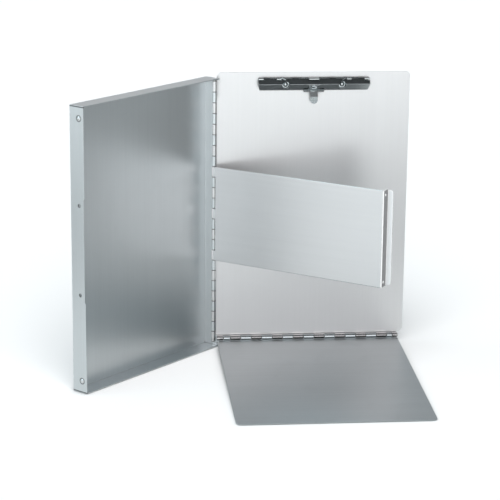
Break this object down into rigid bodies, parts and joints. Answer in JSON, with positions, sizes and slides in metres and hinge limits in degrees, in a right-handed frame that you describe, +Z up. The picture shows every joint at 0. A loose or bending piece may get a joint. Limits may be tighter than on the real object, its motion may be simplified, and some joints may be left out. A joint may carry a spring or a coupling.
{
  "type": "forms holder clipboard",
  "caption": "Side-opening aluminium forms holder: shallow storage tray, hinged clip plate with sprung clip, folding writing flap and a retainer arm on the same hinge.",
  "frame": {"origin": "middle of the tray's bottom outer face, which stands on the floor", "axes": "+Z up along the main hinge; +Y out through the tray's back, so the open side faces -Y; +X from the free side towards the main hinge"},
  "size_m": [0.3927, 0.3656, 0.3324],
  "materials": {
    "tray_sheet": "satin mill finish sheet",
    "cover_sheet": "satin mill finish sheet",
    "flap_sheet": "satin mill finish sheet",
    "arm_sheet": "satin mill finish sheet",
    "aluminium_rivet": "bright domed head",
    "hinge_wire": "drawn steel wire",
    "clip_plating": "bright nickel plate",
    "clip_rivet": "bright nickel plate",
    "spring_wire": "plated spring wire"
  },
  "bodies": {
    "tray": {"tray_pan": "tray_sheet", "corner_rivets": "aluminium_rivet", "main_hinge_pin": "hinge_wire"},
    "cover": {"cover_plate": "cover_sheet", "flap_hinge_pin": "hinge_wire", "clip_base": "clip_plating", "clip_rod": "clip_plating", "clip_rivets": "clip_rivet"},
    "flap": {"writing_flap": "flap_sheet"},
    "retainer": {"retainer_arm": "arm_sheet"},
    "jaw": {"clip_jaw": "clip_plating", "lever_tab": "clip_plating", "lever_rivet": "clip_rivet", "clip_spring_left": "spring_wire", "clip_spring_right": "spring_wire"}
  },
  "joints": [
    {"name": "cover_hinge", "type": "hinge", "parent": "tray", "child": "cover", "pos_m": [0.1116, -0.0055, 0.165], "axis": [0, 0, 1], "range_deg": [-16, 25]},
    {"name": "retainer_hinge", "type": "hinge", "parent": "tray", "child": "retainer", "pos_m": [0.1116, -0.0055, 0.165], "axis": [0, 0, 1], "range_deg": [-99.5, 16]},
    {"name": "flap_hinge", "type": "hinge", "parent": "cover", "child": "flap", "pos_m": [0.19122, -0.08681, 0.0093], "axis": [0.6997, -0.7145, 0], "range_deg": [-20, 86]},
    {"name": "clip_jaw_pivot", "type": "hinge", "parent": "cover", "child": "jaw", "pos_m": [0.19525, -0.0872, 0.3244], "axis": [-0.6997, 0.7145, 0], "range_deg": [0, 30], "stiffness_Nm_per_rad": 0.2, "springref_deg": -34.38}
  ]
}
